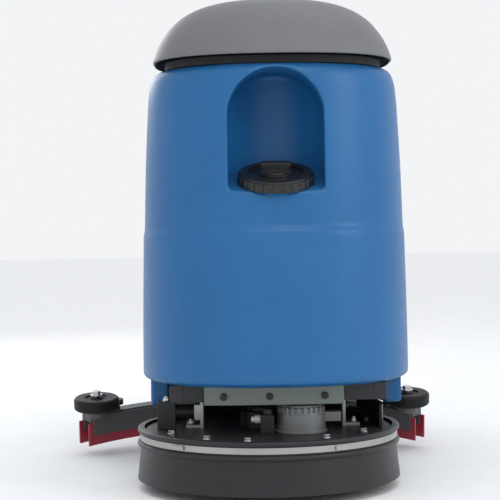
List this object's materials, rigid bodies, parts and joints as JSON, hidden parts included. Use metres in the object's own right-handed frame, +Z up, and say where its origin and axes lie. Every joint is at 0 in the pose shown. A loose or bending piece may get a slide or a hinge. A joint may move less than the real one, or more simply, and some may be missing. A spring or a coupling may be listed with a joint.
{
  "type": "ride on scrubber",
  "caption": "Compact rider floor scrubber: disc brush deck with rubber skirt, blue one-piece tank with grey domed lid, swept swivelling squeegee, steered drive wheel and driver's seat.",
  "frame": {"origin": "on the floor under the centre of the machine's bounding box", "axes": "+Z up, -Y towards the front of the machine, +X to the right as seen from in front"},
  "size_m": [0.925, 1.38, 1.088],
  "materials": {
    "frame_black": "satin",
    "plate_grey": "satin",
    "dark_bolts": "satin",
    "tank_blue": "moulded",
    "seal_black": "matte",
    "hinge_black": "satin",
    "console_black": "moulded",
    "floor_black": "satin",
    "mat_rubber": "matte",
    "screen": "gloss",
    "battery_case": "moulded",
    "deck_black": "satin",
    "skirt_rubber": "satin",
    "band_steel": "brushed",
    "motor_silver": "satin",
    "valve_black": "moulded",
    "nozzle_white": "moulded",
    "bright_bolts": "satin",
    "brush_plastic": "moulded",
    "bristles": "matte",
    "squeegee_grey": "satin",
    "blade_red": "satin",
    "roller_black": "satin",
    "drive_tyre": "matte",
    "hub_grey": "satin",
    "rear_tyre": "matte",
    "rim_grey": "moulded",
    "wheel_black": "grained",
    "lid_grey": "moulded",
    "seat_vinyl": "grained",
    "pedal_rubber": "matte",
    "stop_red": "gloss"
  },
  "bodies": {
    "machine": {"chassis_rails": "frame_black", "cross_members": "frame_black", "pivot_brackets": "frame_black", "front_plate": "plate_grey", "frame_bolts": "dark_bolts", "solution_tank": "tank_blue", "lid_gasket": "seal_black", "lid_hinge": "hinge_black", "footwell_floor": "floor_black", "footwell_mat": "mat_rubber", "dash_console": "console_black", "dash_display": "screen", "steering_column": "console_black", "rear_body": "tank_blue", "batteries": "battery_case", "rear_axle": "frame_black", "drain_spout": "console_black", "rear_plate": "frame_black"},
    "deck": {"deck_housing": "deck_black", "deck_skirt": "skirt_rubber", "skirt_band": "band_steel", "brush_motor": "motor_silver", "gearbox": "deck_black", "water_valve": "valve_black", "valve_nozzle": "nozzle_white", "deck_hangers": "band_steel", "deck_bolts": "bright_bolts", "float_bracket": "frame_black", "float_bush": "skirt_rubber"},
    "lower_arms": {"lower_lift_arms": "frame_black"},
    "upper_arms": {"upper_lift_arms": "frame_black"},
    "brush": {"brush_block": "brush_plastic", "brush_bristles": "bristles"},
    "tow": {"tow_frame": "frame_black"},
    "squeegee": {"squeegee_body": "squeegee_grey", "squeegee_front_blade": "blade_red", "squeegee_rear_blade": "blade_red", "blade_clamps": "squeegee_grey", "squeegee_knobs": "valve_black", "suction_port": "console_black", "roller_axles": "bright_bolts"},
    "bumper_left": {"roller_left": "roller_black"},
    "bumper_right": {"roller_right": "roller_black"},
    "fork": {"steer_fork": "frame_black"},
    "drive_wheel": {"drive_tyre": "drive_tyre", "drive_hub": "hub_grey"},
    "rear_wheel_left": {"rear_tyre_left": "rear_tyre", "rear_rim_left": "rim_grey"},
    "rear_wheel_right": {"rear_tyre_right": "rear_tyre", "rear_rim_right": "rim_grey"},
    "steering": {"steering_wheel": "wheel_black"},
    "horn": {"horn_button": "valve_black"},
    "cap": {"fill_cap": "valve_black"},
    "lid": {"top_cover": "lid_grey"},
    "seat": {"seat_plate": "console_black", "seat_cushion": "seat_vinyl", "seat_back": "seat_vinyl"},
    "pedal": {"drive_pedal": "pedal_rubber"},
    "stop_button": {"e_stop": "stop_red"},
    "key": {"key_switch": "band_steel"}
  },
  "joints": [
    {"name": "lid_hinge_turn", "type": "hinge", "parent": "machine", "child": "lid", "pos_m": [0.05, -0.21, 0.943], "axis": [-1, 0, 0], "range_deg": [0, 50]},
    {"name": "cap_turn", "type": "hinge", "parent": "machine", "child": "cap", "pos_m": [0.05, -0.568, 0.67792], "axis": [0, -0.3502, 0.9367], "range_deg": [0, 120]},
    {"name": "lower_arm_swing", "type": "hinge", "parent": "machine", "child": "lower_arms", "pos_m": [0.05, -0.13, 0.17], "axis": [1, 0, 0], "range_deg": [0, 5.2]},
    {"name": "upper_arm_swing", "type": "hinge", "parent": "machine", "child": "upper_arms", "pos_m": [0.05, -0.13, 0.215], "axis": [1, 0, 0], "range_deg": [0, 5.2]},
    {"name": "deck_float", "type": "hinge", "parent": "lower_arms", "child": "deck", "pos_m": [0.05, -0.36, 0.17], "axis": [1, 0, 0], "range_deg": [-5.2, 0]},
    {"name": "brush_spin", "type": "hinge", "parent": "deck", "child": "brush", "pos_m": [0.03, -0.393, 0.1], "axis": [0, 0, 1], "continuous": true},
    {"name": "squeegee_lift", "type": "hinge", "parent": "machine", "child": "tow", "pos_m": [0.05, -0.07, 0.16], "axis": [-1, 0, 0], "range_deg": [0, 8.2]},
    {"name": "squeegee_swivel", "type": "hinge", "parent": "tow", "child": "squeegee", "pos_m": [0.05, 0.17808, 0.13513], "axis": [0, -0.1426, 0.9898], "range_deg": [-8, 8]},
    {"name": "bumper_left_spin", "type": "hinge", "parent": "squeegee", "child": "bumper_left", "pos_m": [-0.404, 0.07329, 0.13316], "axis": [0, -0.1426, 0.9898], "continuous": true},
    {"name": "bumper_right_spin", "type": "hinge", "parent": "squeegee", "child": "bumper_right", "pos_m": [0.404, 0.07329, 0.13316], "axis": [0, -0.1426, 0.9898], "continuous": true},
    {"name": "drive_steer", "type": "hinge", "parent": "machine", "child": "fork", "pos_m": [0.05, 0.01, 0.215], "axis": [0, 0, 1], "range_deg": [-45, 45]},
    {"name": "drive_spin", "type": "hinge", "parent": "fork", "child": "drive_wheel", "pos_m": [0.05, 0.01, 0.1], "axis": [1, 0, 0], "continuous": true},
    {"name": "rear_left_spin", "type": "hinge", "parent": "machine", "child": "rear_wheel_left", "pos_m": [-0.175, 0.46, 0.125], "axis": [1, 0, 0], "continuous": true},
    {"name": "rear_right_spin", "type": "hinge", "parent": "machine", "child": "rear_wheel_right", "pos_m": [0.275, 0.46, 0.125], "axis": [1, 0, 0], "continuous": true},
    {"name": "steering_turn", "type": "hinge", "parent": "machine", "child": "steering", "pos_m": [0.05, 0.01, 0.965], "axis": [0, 0.5, 0.866], "range_deg": [-135, 135]},
    {"name": "horn_press", "type": "slide", "parent": "steering", "child": "horn", "axis": [0, -0.5, -0.866], "range_m": [0, 0.002], "stiffness_N_per_m": 900, "springref_m": -0.002},
    {"name": "stop_press", "type": "slide", "parent": "machine", "child": "stop_button", "axis": [0, -0.5, -0.866], "range_m": [0, 0.003], "stiffness_N_per_m": 900, "springref_m": -0.002},
    {"name": "key_turn", "type": "hinge", "parent": "machine", "child": "key", "pos_m": [0.146, -0.05878, 0.89386], "axis": [0, 0.5, 0.866], "range_deg": [0, 60]},
    {"name": "seat_tilt", "type": "hinge", "parent": "machine", "child": "seat", "pos_m": [0.05, 0.21, 0.64], "axis": [1, 0, 0], "range_deg": [0, 45]},
    {"name": "pedal_press", "type": "hinge", "parent": "machine", "child": "pedal", "pos_m": [0.2, 0.086, 0.264], "axis": [1, 0, 0], "range_deg": [0, 9], "stiffness_Nm_per_rad": 4, "springref_deg": -14.32}
  ],
  "couplings": [
    {"joint": "upper_arm_swing", "follows": "lower_arm_swing", "ratio": 1},
    {"joint": "deck_float", "follows": "lower_arm_swing", "ratio": -1},
    {"joint": "drive_steer", "follows": "steering_turn", "ratio": 0.33333}
  ]
}
